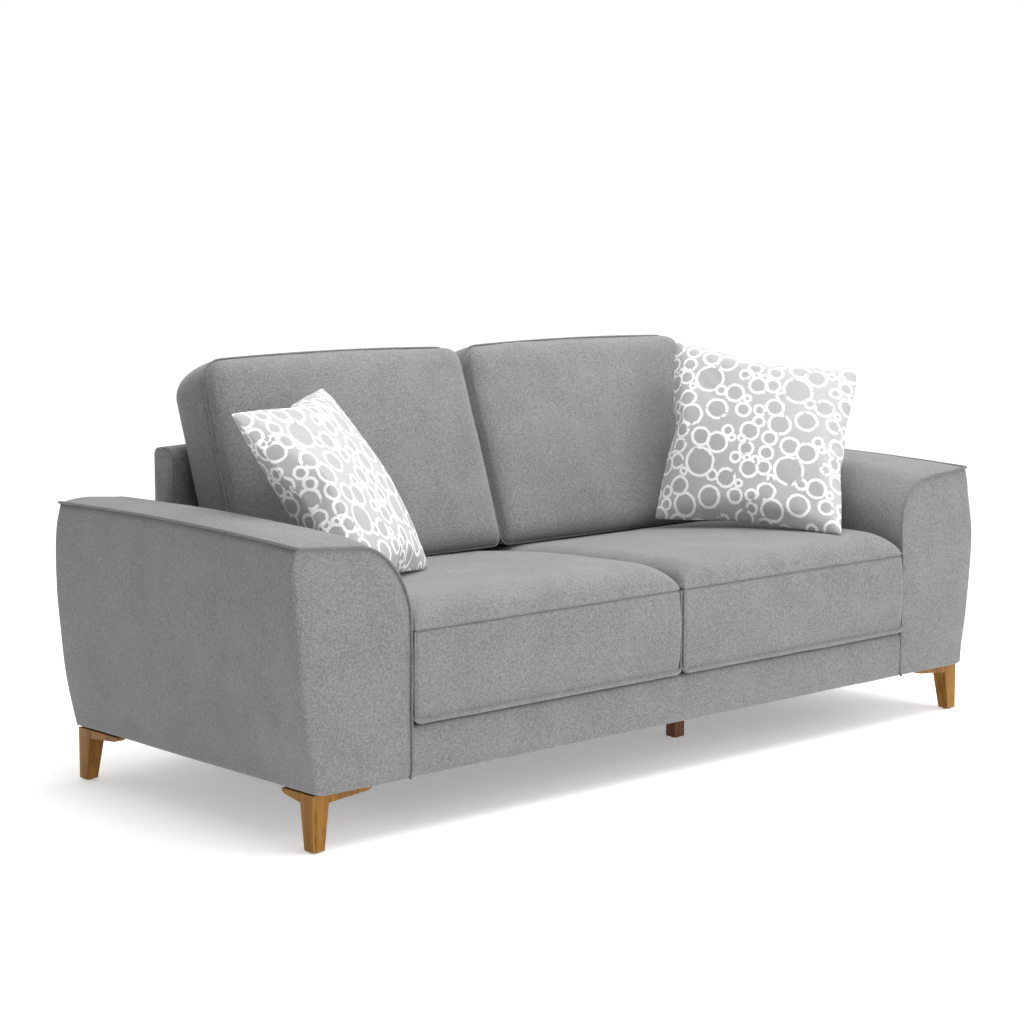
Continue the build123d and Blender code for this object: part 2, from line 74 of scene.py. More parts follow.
def coons(left, right, bottom, top):
    """Fill four boundary lines with a grid: left and right run up, bottom and top run to the right."""
    n, m = len(left), len(bottom)
    v = np.linspace(0, 1, n)[:, None, None]
    u = np.linspace(0, 1, m)[None, :, None]
    sides = (1 - u) * left[:, None, :] + u * right[:, None, :]
    ends = (1 - v) * bottom[None, :, :] + v * top[None, :, :]
    corners = ((1 - u) * (1 - v) * left[0] + u * (1 - v) * right[0]
               + (1 - u) * v * left[-1] + u * v * right[-1])
    return sides + ends - corners


def dome(n, m, power=2.6):
    """A pillow-shaped height from 0 at a grid's edges to 1 in its middle."""
    v = 1 - np.abs(np.linspace(-1, 1, n)) ** power
    u = 1 - np.abs(np.linspace(-1, 1, m)) ** power
    return v[:, None] * u[None, :]


def cap_grid(ring, counts, lift, power=2.6):
    """Points inside a ring with these side counts, raised by lift (a vector) times a dome."""
    a, b, c, _ = counts
    low_right, high_right, high_left = a, a + b, a + b + c
    bottom = ring[:low_right + 1]
    right = ring[low_right:high_right + 1]
    top = ring[high_right:high_left + 1][::-1]
    left = np.vstack([ring[high_left:], ring[:1]])[::-1]
    grid = coons(left, right, bottom, top)
    rise = dome(len(left), len(bottom), power)
    return grid + rise[:, :, None] * np.asarray(lift, float)


def closed_body(name, rings, counts, lifts, powers=(2.6, 2.6)):
    """A closed surface: rings of equal length, joined by quads, with a domed cap at each end.
    counts are the segments of a ring's four sides, in order; opposite sides have equal counts."""
    points = [np.asarray(ring, float) for ring in rings]
    size = len(points[0])
    vertices = list(np.vstack(points))
    faces = []
    for k in range(len(points) - 1):
        for i in range(size):
            j = (i + 1) % size
            faces.append((k * size + i, k * size + j, (k + 1) * size + j, (k + 1) * size + i))
    a, b, c, _ = counts
    for end, lift, power in zip((0, len(points) - 1), lifts, powers):
        grid = cap_grid(points[end], counts, lift, power)
        rows, columns = grid.shape[:2]
        index = np.zeros((rows, columns), int)
        base = end * size
        for j in range(columns):
            index[0, j] = base + j
            index[-1, j] = base + (a + b + c - j) % size
        for i in range(rows):
            index[i, -1] = base + a + i
            index[i, 0] = base + (size - i) % size
        for i in range(1, rows - 1):
            for j in range(1, columns - 1):
                index[i, j] = len(vertices)
                vertices.append(grid[i, j])
        for i in range(rows - 1):
            for j in range(columns - 1):
                faces.append((index[i, j], index[i, j + 1], index[i + 1, j + 1], index[i + 1, j]))
    return mesh_object(name, vertices, faces)


def ring_normals(ring):
    """Outward unit normals of a closed counter-clockwise plane ring."""
    along = np.roll(ring, -1, axis=0) - np.roll(ring, 1, axis=0)
    normal = np.stack([along[:, 1], -along[:, 0]], 1)
    return normal / np.maximum(np.linalg.norm(normal, axis=1, keepdims=True), 1e-9)


def resample(line, count, crowd=0.0):
    """Points along an open polyline, ends included: evenly spaced, or crowded towards both ends."""
    line = np.asarray(line, float)
    reach = np.concatenate([[0], np.cumsum(np.linalg.norm(np.diff(line, axis=0), axis=1))])
    share = np.linspace(0, 1, count)
    at = reach[-1] * (share - crowd * np.sin(2 * math.pi * share) / (2 * math.pi))
    return np.stack([np.interp(at, reach, line[:, k]) for k in range(line.shape[1])], 1)


def arc(centre, radii, start, end, count=12):
    """Points on an ellipse's arc, angles in degrees."""
    angle = np.radians(np.linspace(start, end, count))
    return np.stack([centre[0] + radii[0] * np.cos(angle), centre[1] + radii[1] * np.sin(angle)], 1)


def four_sided(sides, counts, crowd=0.0):
    """A closed ring from four polylines that follow each other, each resampled to its count."""
    return np.vstack([resample(side, count + 1, crowd)[:-1] for side, count in zip(sides, counts)])


def rounded_rectangle(low, high, radii, counts, crowd=0.0):
    """A ring round a rectangle; radii are at the lower left, lower right, upper right and upper left.
    Each of its four sides runs from the middle of one corner to the middle of the next."""
    (x0, y0), (x1, y1) = low, high
    a, b, c, d = radii
    corners = [((x0 + a, y0 + a), a, 180), ((x1 - b, y0 + b), b, 270),
               ((x1 - c, y1 - c), c, 0), ((x0 + d, y1 - d), d, 90)]
    halves = [(arc(p, (r, r), s, s + 45, 8), arc(p, (r, r), s + 45, s + 90, 8)) for p, r, s in corners]
    sides = [np.vstack([halves[k][1], halves[(k + 1) % 4][0]]) for k in range(4)]
    return four_sided(sides, counts, crowd)


def tube(name, line, radius, closed=False, segments=10):
    """A round cord along a line, with rounded ends when it is open."""
    line = np.asarray(line, float)
    if closed:
        along = np.roll(line, -1, axis=0) - np.roll(line, 1, axis=0)
    else:
        along = np.gradient(line, axis=0)
    along /= np.maximum(np.linalg.norm(along, axis=1, keepdims=True), 1e-12)
    up = np.array([0.0, 0.0, 1.0]) if abs(along[0][2]) < 0.9 else np.array([0.0, 1.0, 0.0])
    side = np.cross(along[0], up)
    sides = []
    for direction in along:
        side = side - direction * (side @ direction)
        side = side / max(np.linalg.norm(side), 1e-9)
        sides.append(side.copy())
    turn = np.linspace(0, 2 * math.pi, segments, endpoint=False)
    vertices, faces = [], []
    for point, direction, side in zip(line, along, sides):
        other = np.cross(direction, side)
        for angle in turn:
            vertices.append(point + radius * (math.cos(angle) * side + math.sin(angle) * other))
    count = len(line)
    for k in range(count if closed else count - 1):
        for i in range(segments):
            j = (i + 1) % segments
            n = (k + 1) % count
            faces.append((k * segments + i, k * segments + j, n * segments + j, n * segments + i))
    if not closed:
        for end, sign in ((0, -1), (count - 1, 1)):
            tip = len(vertices)
            vertices.append(line[end] + along[end] * sign * radius * 0.6)
            for i in range(segments):
                j = (i + 1) % segments
                faces.append((end * segments + i, end * segments + j, tip))
    return mesh_object(name, vertices, faces)


def outward(data):
    """Every vertex's place and normal, read before any of them moves."""
    return [(vertex.co.copy(), vertex.normal.copy()) for vertex in data.vertices]


def ripple(obj, height, scale, seed=0.0):
    """Push each vertex along its normal by soft noise: the unevenness of cloth over foam."""
    data = obj.data
    shift = Vector((seed, seed * 1.7, -seed))
    moved = []
    for place, normal in outward(data):
        amount = noise.noise(place * scale + shift) + 0.4 * noise.noise(place * scale * 2.7 - shift)
        moved.append(place + normal * height * amount)
    for vertex, place in zip(data.vertices, moved):
        vertex.co = place
    data.update()


def mirror_x(obj):
    """Mirror a mesh in X in place, keeping its faces outward."""
    data = obj.data
    for vertex in data.vertices:
        vertex.co.x = -vertex.co.x
    data.flip_normals()
    data.update()
    return obj


# ---- materials ----------------------------------------------------------------------------
class Shader:
    """A node material with one Principled shader."""

    def __init__(self, name):
        self.material = bpy.data.materials.new(name)
        self.material.use_nodes = True
        self.tree = self.material.node_tree
        self.bsdf = self.tree.nodes["Principled BSDF"]

    def node(self, kind, **settings):
        made = self.tree.nodes.new(kind)
        for key, value in settings.items():
            setattr(made, key, value)
        return made

    def link(self, source, target):
        self.tree.links.new(source, target)

    def set(self, **values):
        for key, value in values.items():
            self.bsdf.inputs[key.replace("_", " ")].default_value = value

    def coordinates(self, kind="Object", scale=(1, 1, 1), turn=(0, 0, 0)):
        source = self.node("ShaderNodeTexCoord")
        mapping = self.node("ShaderNodeMapping")
        mapping.inputs["Scale"].default_value = scale
        mapping.inputs["Rotation"].default_value = turn
        self.link(source.outputs[kind], mapping.inputs["Vector"])
        return mapping.outputs["Vector"]

    def noise(self, vector, scale, detail=3.0, roughness=0.5, distortion=0.0):
        made = self.node("ShaderNodeTexNoise")
        made.inputs["Scale"].default_value = scale
        made.inputs["Detail"].default_value = detail
        made.inputs["Roughness"].default_value = roughness
        made.inputs["Distortion"].default_value = distortion
        self.link(vector, made.inputs["Vector"])
        return made.outputs["Fac"]

    def math(self, operation, a, b=None, clamp=False):
        made = self.node("ShaderNodeMath", operation=operation, use_clamp=clamp)
        for socket, value in zip(made.inputs, (a, b)):
            if value is None:
                continue
            if isinstance(value, (int, float)):
                socket.default_value = value
            else:
                self.link(value, socket)
        return made.outputs[0]

    def blend(self, *weighted):
        """The sum of values, each times its weight."""
        total = None
        for value, weight in weighted:
            term = self.math("MULTIPLY", value, weight)
            total = term if total is None else self.math("ADD", total, term)
        return total

    def remap(self, value, low, high, to_low=0.0, to_high=1.0):
        made = self.node("ShaderNodeMapRange")
        made.interpolation_type = "SMOOTHSTEP"
        limits = {"From Min": low, "From Max": high, "To Min": to_low, "To Max": to_high}
        for key, number in limits.items():
            made.inputs[key].default_value = number
        self.link(value, made.inputs["Value"])
        return made.outputs["Result"]

    def mix(self, factor, a, b):
        made = self.node("ShaderNodeMix", data_type="RGBA")
        for socket, value in ((made.inputs[0], factor), (made.inputs[6], a), (made.inputs[7], b)):
            if isinstance(value, (int, float)):
                socket.default_value = value
            elif isinstance(value, (tuple, list)):
                socket.default_value = (*value, 1.0)
            else:
                self.link(value, socket)
        return made.outputs[2]

    def colour(self, value):
        self.link(value, self.bsdf.inputs["Base Color"])

    def bump(self, height, strength, distance):
        made = self.node("ShaderNodeBump")
        made.inputs["Strength"].default_value = strength
        made.inputs["Distance"].default_value = distance
        self.link(height, made.inputs["Height"])
        self.link(made.outputs["Normal"], self.bsdf.inputs["Normal"])

    def roughness(self, value):
        self.link(value, self.bsdf.inputs["Roughness"])


def velvet(name, dark, light):
    """Brushed velvet: short fibres lying in all directions, faintly cloudy from stroking."""
    shader = Shader(name)
    plain = shader.coordinates()
    cloud = shader.noise(plain, 9.0, 4.0, 0.6, 0.4)
    one_way = shader.coordinates(scale=(1.0, 3.0, 3.0), turn=(0.5, 0.7, 0.4))
    other_way = shader.coordinates(scale=(3.0, 3.0, 1.0), turn=(-0.6, 0.4, -0.5))
    first = shader.noise(one_way, 150.0, 2.0, 0.6)
    second = shader.noise(other_way, 150.0, 2.0, 0.6)
    choice = shader.remap(shader.noise(plain, 90.0, 1.0), 0.42, 0.58)
    fibres = shader.math("ADD", shader.math("MULTIPLY", first, choice),
                         shader.math("MULTIPLY", second, shader.math("SUBTRACT", 1.0, choice)))
    fine = shader.noise(plain, 900.0, 2.0, 0.7)
    tone = shader.blend((fibres, 0.68), (cloud, 0.14), (fine, 0.18))
    shader.colour(shader.mix(shader.remap(tone, 0.34, 0.66), dark, light))
    shader.roughness(shader.remap(tone, 0.3, 0.7, 0.95, 0.8))
    shader.set(Sheen_Weight=0.30, Sheen_Roughness=0.45, Sheen_Tint=(0.9, 0.9, 0.9, 1.0))
    shader.set(Specular_IOR_Level=0.2)
    shader.bump(shader.math("ADD", shader.math("MULTIPLY", fibres, 0.7), fine), 0.35, 0.0006)
    return shader.material


def ring_layout(seed, gap):
    """Circles packed into a unit square that repeats, as (x, y, radius), large ones first.
    They stay gap apart, and overlap a little when gap is below 0."""
    draw = random.Random(seed)
    placed = []
    for radius, wanted, tries in ((0.150, 1, 50), (0.115, 3, 400), (0.098, 5, 900), (0.078, 5, 1200),
                                  (0.058, 5, 1500), (0.036, 6, 1500)):
        for _ in range(tries):
            if wanted == 0:
                break
            x, y = draw.random(), draw.random()
            clear = True
            for px, py, pr in placed:
                dx, dy = abs(x - px), abs(y - py)
                apart = math.hypot(min(dx, 1 - dx), min(dy, 1 - dy))
                clear = clear and apart > radius + pr + gap
            if clear:
                placed.append((x, y, radius * draw.uniform(0.96, 1.04)))
                wanted -= 1
    return placed


def ring_print(name, tile):
    """Cotton with hand-painted white rings, drawn from the cloth's own flat coordinates in metres."""
    shader = Shader(name)
    uv = shader.node("ShaderNodeUVMap", uv_map="cloth").outputs["UV"]
    wobble_source = shader.node("ShaderNodeTexNoise")
    wobble_source.inputs["Scale"].default_value = 60.0
    wobble_source.inputs["Detail"].default_value = 3.0
    shader.link(uv, wobble_source.inputs["Vector"])
    centred = shader.node("ShaderNodeVectorMath", operation="SUBTRACT")
    centred.inputs[1].default_value = (0.5, 0.5, 0.5)
    shader.link(wobble_source.outputs["Color"], centred.inputs[0])
    wobble = shader.node("ShaderNodeVectorMath", operation="SCALE")
    wobble.inputs["Scale"].default_value = 0.0055
    shader.link(centred.outputs[0], wobble.inputs[0])
    moved = shader.node("ShaderNodeVectorMath", operation="ADD")
    shader.link(uv, moved.inputs[0])
    shader.link(wobble.outputs[0], moved.inputs[1])
    scaled = shader.node("ShaderNodeVectorMath", operation="SCALE")
    scaled.inputs["Scale"].default_value = 1.0 / tile
    shader.link(moved.outputs[0], scaled.inputs[0])
    brush = shader.noise(uv, 190.0, 3.0, 0.6)
    paint, within = None, None
    for x, y, radius in ring_layout(11, -0.014):
        offset = shader.node("ShaderNodeVectorMath", operation="SUBTRACT")
        offset.inputs[1].default_value = (x - 0.5, y - 0.5, 0.0)
        shader.link(scaled.outputs[0], offset.inputs[0])
        wrap = shader.node("ShaderNodeVectorMath", operation="FRACTION")
        shader.link(offset.outputs[0], wrap.inputs[0])
        back = shader.node("ShaderNodeVectorMath", operation="SUBTRACT")
        back.inputs[1].default_value = (0.5, 0.5, 0.0)
        shader.link(wrap.outputs[0], back.inputs[0])
        flat = shader.node("ShaderNodeVectorMath", operation="MULTIPLY")
        flat.inputs[1].default_value = (1.0, 1.0, 0.0)
        shader.link(back.outputs[0], flat.inputs[0])
        distance = shader.node("ShaderNodeVectorMath", operation="LENGTH")
        shader.link(flat.outputs[0], distance.inputs[0])
        beyond = shader.math("SUBTRACT", distance.outputs["Value"], radius)
        off = shader.math("ABSOLUTE", beyond)
        paint = off if paint is None else shader.math("MINIMUM", paint, off)
        within = beyond if within is None else shader.math("MINIMUM", within, beyond)
    rough = shader.math("MULTIPLY", shader.math("SUBTRACT", brush, 0.5), 0.020)
    edge = shader.math("ADD", paint, rough)
    white = shader.remap(edge, 0.012, 0.019, 1.0, 0.0)
    filled = shader.remap(within, -0.008, 0.0, 0.28, 0.0)
    weave = shader.noise(uv, 1400.0, 2.0, 0.7)
    linen = shader.noise(uv, 240.0, 4.0, 0.7)
    cloth = shader.remap(shader.blend((weave, 0.5), (linen, 0.5)), 0.35, 0.65)
    ground = shader.mix(cloth, (0.40, 0.40, 0.40), (0.53, 0.53, 0.53))
    ground = shader.mix(filled, ground, (0.31, 0.31, 0.31))
    gap = shader.remap(shader.noise(uv, 34.0, 2.0), 0.35, 0.38)
    shader.colour(shader.mix(shader.math("MULTIPLY", white, gap), ground, (0.92, 0.92, 0.92)))
    shader.set(Roughness=0.85, Sheen_Weight=0.15, Sheen_Roughness=0.5, Specular_IOR_Level=0.2)
    shader.bump(shader.math("ADD", weave, shader.math("MULTIPLY", white, 0.5)), 0.3, 0.0005)
    return shader.material


def wood(name, dark, mid, light, grain_turn, gloss=0.42):
    """Straight-grained wood: long streaks along the part's height, pores and slow colour change."""
    shader = Shader(name)
    along = shader.coordinates(scale=(1.0, 1.0, 0.06), turn=grain_turn)
    streak = shader.noise(along, 160.0, 5.0, 0.65, 0.6)
    band = shader.noise(along, 34.0, 3.0, 0.5, 1.2)
    pores = shader.noise(shader.coordinates(scale=(1.0, 1.0, 0.035), turn=grain_turn), 620.0, 2.0, 0.6)
    base = shader.mix(shader.remap(band, 0.35, 0.65), mid, light)
    base = shader.mix(shader.remap(streak, 0.52, 0.72), base, dark)
    base = shader.mix(shader.remap(pores, 0.62, 0.72, 0.0, 0.5), base, dark)
    shader.colour(base)
    shader.roughness(shader.remap(streak, 0.3, 0.7, gloss, gloss + 0.12))
    shader.set(Coat_Weight=0.06, Coat_Roughness=0.3, Specular_IOR_Level=0.3)
    shader.bump(shader.math("ADD", streak, shader.math("MULTIPLY", pores, -0.8)), 0.25, 0.0004)
    return shader.material


def plain_fabric(name, dark, light, scale, bump=0.4):
    """Felt, foam, fibre or webbing: a grainy two-tone surface."""
    shader = Shader(name)
    place = shader.coordinates()
    grain = shader.noise(place, scale, 4.0, 0.7)
    cloud = shader.noise(place, 9.0, 2.0)
    tone = shader.blend((grain, 0.75), (cloud, 0.25))
    shader.colour(shader.mix(shader.remap(tone, 0.35, 0.65), dark, light))
    shader.set(Roughness=0.92, Sheen_Weight=0.1)
    shader.bump(grain, bump, 0.001)
    return shader.material


def metal(name, dark, light, rough):
    """Plated steel with fine drawn lines and faint staining."""
    shader = Shader(name)
    lines = shader.noise(shader.coordinates(scale=(1, 1, 0.1)), 700.0, 2.0, 0.6)
    stain = shader.noise(shader.coordinates(), 60.0, 3.0)
    shader.colour(shader.mix(shader.remap(stain, 0.35, 0.7), light, dark))
    shader.roughness(shader.remap(lines, 0.3, 0.7, rough, rough + 0.15))
    shader.set(Metallic=1.0)
    shader.bump(lines, 0.15, 0.0002)
    return shader.material


def moulded(name, dark, light):
    """Moulded nylon with a fine spark-eroded texture."""
    shader = Shader(name)
    grain = shader.noise(shader.coordinates(), 900.0, 2.0)
    shader.colour(shader.mix(grain, dark, light))
    shader.set(Roughness=0.55)
    shader.bump(grain, 0.2, 0.0003)
    return shader.material


VELVET = velvet("velvet", (0.142, 0.142, 0.143), (0.278, 0.278, 0.280))
# The piping is the same velvet as the cover, painted darker: painted shade that stands in for the shadow
# along each cord and welt.
SHADED_PIPING = velvet("piping", (0.120, 0.120, 0.121), (0.235, 0.235, 0.237))
RINGS = ring_print("ring_print", 0.232)
OAK = wood("oak", (0.095, 0.033, 0.002), (0.205, 0.082, 0.004), (0.320, 0.140, 0.008), (0, 0, 0.3))
DARK_WOOD = wood("dark_wood", (0.05, 0.014, 0.008), (0.15, 0.045, 0.02), (0.24, 0.08, 0.035),
                 (0, 0, 0.2))
TIMBER = wood("frame_timber", (0.36, 0.22, 0.10), (0.55, 0.38, 0.20), (0.68, 0.50, 0.30),
              (1.57, 0, 0), 0.7)
CARRIED = {
    "frame_timber": TIMBER, "oak": OAK, "dark_wood": DARK_WOOD,
    "steel": metal("steel", (0.42, 0.42, 0.44), (0.62, 0.62, 0.64), 0.3),
    "spring_steel": metal("spring_steel", (0.10, 0.10, 0.11), (0.24, 0.24, 0.26), 0.35),
    "nylon": moulded("nylon", (0.02, 0.02, 0.02), (0.045, 0.045, 0.045)),
    "webbing": plain_fabric("webbing", (0.20, 0.16, 0.11), (0.42, 0.36, 0.27), 700.0),
    "felt": plain_fabric("felt", (0.30, 0.30, 0.29), (0.55, 0.55, 0.53), 420.0),
    "dust_cloth": plain_fabric("dust_cloth", (0.012, 0.012, 0.012), (0.035, 0.035, 0.036), 520.0),
    "foam": plain_fabric("foam", (0.60, 0.56, 0.42), (0.80, 0.76, 0.62), 650.0, 0.7),
    "fibre_fill": plain_fabric("fibre_fill", (0.70, 0.70, 0.68), (0.88, 0.88, 0.86), 240.0, 0.8),
    "zip_tape": plain_fabric("zip_tape", (0.05, 0.05, 0.055), (0.13, 0.13, 0.135), 800.0),
}


def finish_piece(obj, body, material, nodes=()):
    """Give a new piece its material, its body and the CAD nodes that it stands for."""
    obj.data.materials.clear()
    obj.data.materials.append(material)
    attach(obj, body)
    if nodes:
        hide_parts(*nodes)
    return obj


# ---- swept upholstery: arms, back frame, front rail -----------------------------------------
def swept_rings(ring, front_round, rear_round, place, stations, round_steps=6):
    """Rings along a body: at both ends the ring draws in round the edge radius given for each point.
    place(points, position, pull) puts a 2D ring at a position along the body, drawn back by pull."""
    normal = ring_normals(ring)

    def end_rings(rounding, position, sign):
        rings = []
        for angle in np.radians(np.linspace(90, 0, round_steps)):
            inset = rounding * (1 - math.cos(angle))
            pull = sign * rounding * (1 - math.sin(angle))
            rings.append(place(ring - normal * inset[:, None], position, pull))
        return rings

    middle = [place(ring, position, front_round * max(0.0, 1 - 2 * position)) for position in stations]
    return end_rings(front_round, 0.0, 1) + middle + end_rings(rear_round, 1.0, -1)[::-1]


ARM_CROWN_RADIUS = 10.7
SHOULDER = (0.122, 0.152)         # the rounded inner shoulder, wide and high
SHOULDER_DROP = 0.012
PIPING_RADIUS = 0.0031
FRONT_BEND = (0.42, 0.60)         # the front panel is upright below, and leans back between these
FRONT_LEAN = 0.019                # as far as this at the top
TOP_PUFF = 0.0135                 # the padding stands this high over a straight line to the shoulder


def ease(value, low, high):
    """0 below low, 1 above high and a smooth step between."""
    t = np.clip((np.asarray(value, float) - low) / (high - low), 0, 1)
    return t * t * (3 - 2 * t)


class Arm:
    """The shape of the right arm, taken from its CAD cover."""

    def __init__(self):
        low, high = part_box("arm_cover_right")
        self.inner, self.bottom, self.front, self.rear = low.x, low.z, low.y - 0.001, high.y
        self.top = high.z
        self.corner_x = high.x - 0.007
        self.crown_y = self.front + 0.66 * (self.rear - self.front)
        self.crest_z = self.top - SHOULDER_DROP
        self.shoulder_z = self.crest_z - SHOULDER[1]

    def ring(self):
        """Outline at the crown, as x and z, from the inner bottom corner outwards and round."""
        height = self.top - self.bottom
        flare = [(-0.031, 0.008), (-0.012, 0.20), (-0.001, 0.38), (0.007, 0.58), (0.0095, 0.76),
                 (0.0075, 0.90), (-0.0015, 0.988)]
        side = smooth_line([(self.corner_x + x, self.bottom + z * height) for x, z in flare], 60)
        bottom = [(self.inner + 0.004, self.bottom), (self.corner_x - 0.038, self.bottom)]
        crest = (self.inner + SHOULDER[0], self.crest_z)
        top = [(self.corner_x - 0.004, self.top), crest]
        shoulder = arc((crest[0], self.shoulder_z), SHOULDER, 90, 180, 40)
        inner = np.vstack([shoulder, [(self.inner, self.bottom + 0.004)]])
        counts = (24, 54, 24, 54)
        return four_sided([bottom, side, top, inner], counts), counts

    def drop(self, y):
        return ARM_CROWN_RADIUS - np.sqrt(ARM_CROWN_RADIUS**2 - (y - self.crown_y) ** 2)

    def face(self, z):
        """Where the front panel stands at a height."""
        return self.front + FRONT_LEAN * ease(z, *FRONT_BEND)

    def place(self, points, position, pull):
        """A 2D ring at a share of the way from front to rear, pulled back from the end."""
        x, z = points[:, 0], points[:, 1]
        front = self.face(z)
        y = front + (self.rear - front) * position + pull
        share = np.clip((z - self.bottom) / (self.top - self.bottom), 0, 1)
        return np.stack([x, y, z - self.drop(y) * share**2], 1)

    def puff(self, obj):
        """The top is padded like a bolster between its seams, and the outer side swells a little."""
        for vertex, (place, normal) in zip(obj.data.vertices, outward(obj.data)):
            x, y, z = place
            behind = y - self.face(z)
            if behind < 0.0005:
                continue
            fade = 1 - math.exp(-behind / 0.035)
            across = (self.corner_x - x) / (self.corner_x - self.inner)
            upper = float(ease(z, self.shoulder_z - 0.02, self.shoulder_z + 0.10))
            rise = TOP_PUFF * fade * upper * (1 - max(0.0, 1 - across / 0.30) ** 2)
            high = (z - self.bottom) / (self.top - self.bottom)
            swell = 0.003 * max(0.0, normal.x) * (1 - abs(2 * min(max(high, 0), 1) - 1) ** 4)
            if across > 0.004:
                place += normal * rise
            place.x += swell
            vertex.co = place
        obj.data.update()


def smooth_line(points, count):
    """A smooth line through the points (Catmull-Rom), resampled."""
    points = np.asarray(points, float)
    padded = np.vstack([2 * points[0] - points[1], points, 2 * points[-1] - points[-2]])
    line = []
    for k in range(1, len(padded) - 2):
        p0, p1, p2, p3 = padded[k - 1:k + 3]
        for t in np.linspace(0, 1, 16, endpoint=False):
            line.append(0.5 * (2 * p1 + (p2 - p0) * t + (2 * p0 - 5 * p1 + 4 * p2 - p3) * t**2
                               + (3 * p1 - p0 - 3 * p2 + p3) * t**3))
    line.append(points[-1])
    return resample(np.array(line), count)


def build_arm(side, sign):
    arm = Arm()
    ring, counts = arm.ring()
    a, b = counts[:2]
    front_round = np.full(len(ring), 0.004)
    front_round[a + 3:a + b - 4] = 0.012
    for _ in range(4):
        front_round = (np.roll(front_round, 1) + front_round + np.roll(front_round, -1)) / 3
    rear_round = np.full(len(ring), 0.006)
    rings = swept_rings(ring, front_round, rear_round, arm.place, np.linspace(0.03, 0.97, 56))
    body = closed_body(f"arm_{side}", rings, counts, [(0, -0.004, 0), (0, 0.006, 0)], (4.0, 4.0))
    arm.puff(body)
    ripple(body, 0.0011, 5.0, 3.0 if sign > 0 else 8.0)
    normal = ring_normals(ring)
    proud = PIPING_RADIUS * 0.35
    panel_edge = list(range(a + b, len(ring))) + [0]
    edge = ring[panel_edge] + normal[panel_edge] * proud
    line = arm.place(edge, 0.0, np.full(len(edge), -proud))
    cords = [tube(f"arm_front_piping_{side}", resample(line, 160), PIPING_RADIUS)]
    corner = ring[a + b:a + b + 1] + np.array([0.0022, 0.0012])
    line = np.vstack([arm.place(corner, position, 0.0) for position in np.linspace(0.0, 1.0, 90)])
    cords.append(tube(f"arm_top_piping_{side}", line, PIPING_RADIUS))
    if sign < 0:
        for obj in [body] + cords:
            mirror_x(obj)
    finish_piece(body, "root", VELVET, [f"arm_cover_{side}", f"arm_foam_{side}"])
    for cord in cords:
        finish_piece(cord, "root", SHADED_PIPING)
    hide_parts(f"arm_piping_{side}")


def build_back():
    """The upholstered back frame: an upright panel with rounded top edges and a seam at each end."""
    low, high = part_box("back_cover")
    seat_rear_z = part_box("back_foam")[0].z
    half, rear, top = high.x + 0.008, high.y + 0.004, high.z
    front_top, front_low = rear - 0.075, low.y + 0.02
    rear_radius, front_radius = 0.016, 0.024
    counts = (16, 56, 16, 56)
    back_side = np.vstack([[(rear, low.z + 0.004), (rear, top - rear_radius)],
                           arc((rear - rear_radius, top - rear_radius), (rear_radius,) * 2, 0, 45, 8)])
    front_centre = (front_top + front_radius, top - front_radius)
    crest = np.vstack([arc((rear - rear_radius, top - rear_radius), (rear_radius,) * 2, 45, 90, 8),
                       arc(front_centre, (front_radius,) * 2, 90, 135, 8)])
    face = np.vstack([arc(front_centre, (front_radius,) * 2, 135, 178, 8),
                      [(front_top + 0.003, top - 0.12), (front_low, seat_rear_z + 0.002),
                       (rear - 0.026, seat_rear_z), (rear - 0.026, low.z + 0.004)]])
    ring = four_sided([[(rear - 0.025, low.z), (rear - 0.003, low.z)], back_side, crest, face], counts)
    rounding = np.full(len(ring), 0.005)

    def place(points, position, pull):
        x = np.full(len(points), -half + 2 * half * position) + pull
        low_end = (1 - ease(points[:, 1], 0.20, 0.40)) * (np.abs(x) / half) ** 8
        x = x + math.copysign(0.0045, position - 0.5) * low_end
        crown = 0.012 * (1 - np.abs(x / half) ** 2.2) - 0.008
        lift = np.clip((points[:, 1] - 0.6) / (top - 0.6), 0, 1)
        return np.stack([x, points[:, 0], points[:, 1] + crown * lift], 1)

    rings = swept_rings(ring, rounding, rounding, place, np.linspace(0.01, 0.99, 90))
    body = closed_body("back_frame", rings, counts, [(-0.003, 0, 0), (0.003, 0, 0)], (4.0, 4.0))
    ripple(body, 0.0012, 4.0, 5.0)
    finish_piece(body, "root", VELVET, ["back_cover", "back_foam"])
    normal = ring_normals(ring)
    seam = list(range(sum(counts[:2]) + 7, sum(counts[:3]) + 34))
    for side, position, sign in (("left", 0.0, -1), ("right", 1.0, 1)):
        edge = ring[seam] + normal[seam] * 0.0003
        line = place(edge, position, np.full(len(edge), -sign * 0.0006))
        cord = tube(f"back_frame_piping_{side}", resample(line, 120), 0.0022)
        finish_piece(cord, "root", SHADED_PIPING)


def build_front_rail():
    low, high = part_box("front_rail_cover")
    counts = (8, 24, 8, 24)
    ring = rounded_rectangle((low.y, low.z), (high.y, high.z), (0.005, 0.004, 0.004, 0.008), counts)
    rounding = np.full(len(ring), 0.003)

    def place(points, position, pull):
        x = low.x + (high.x - low.x) * position + pull
        high_share = (points[:, 1] - low.z) / (high.z - low.z)
        swell = 0.0025 * (1 - np.abs(2 * high_share - 1) ** 3) * (points[:, 0] < low.y + 0.008)
        return np.stack([x, points[:, 0] - swell, points[:, 1]], 1)

    rings = swept_rings(ring, rounding, rounding, place, np.linspace(0.005, 0.995, 110))
    body = closed_body("front_rail_band", rings, counts, [(0, 0, 0), (0, 0, 0)])
    ripple(body, 0.0007, 9.0, 2.0)
    finish_piece(body, "root", VELVET, ["front_rail_cover"])


# ---- loose cushions -------------------------------------------------------------------------
SEAT_CORNER = 0.011
SEAT_FOOT_ROUND = 0.020
SEAT_RISE = 0.047                # of the crown over the last ring of the sides
SEAT_EXTRA = 0.005               # and this much more in the middle
SEAT_CREST_BACK = 0.12           # the crown is highest this far behind the front


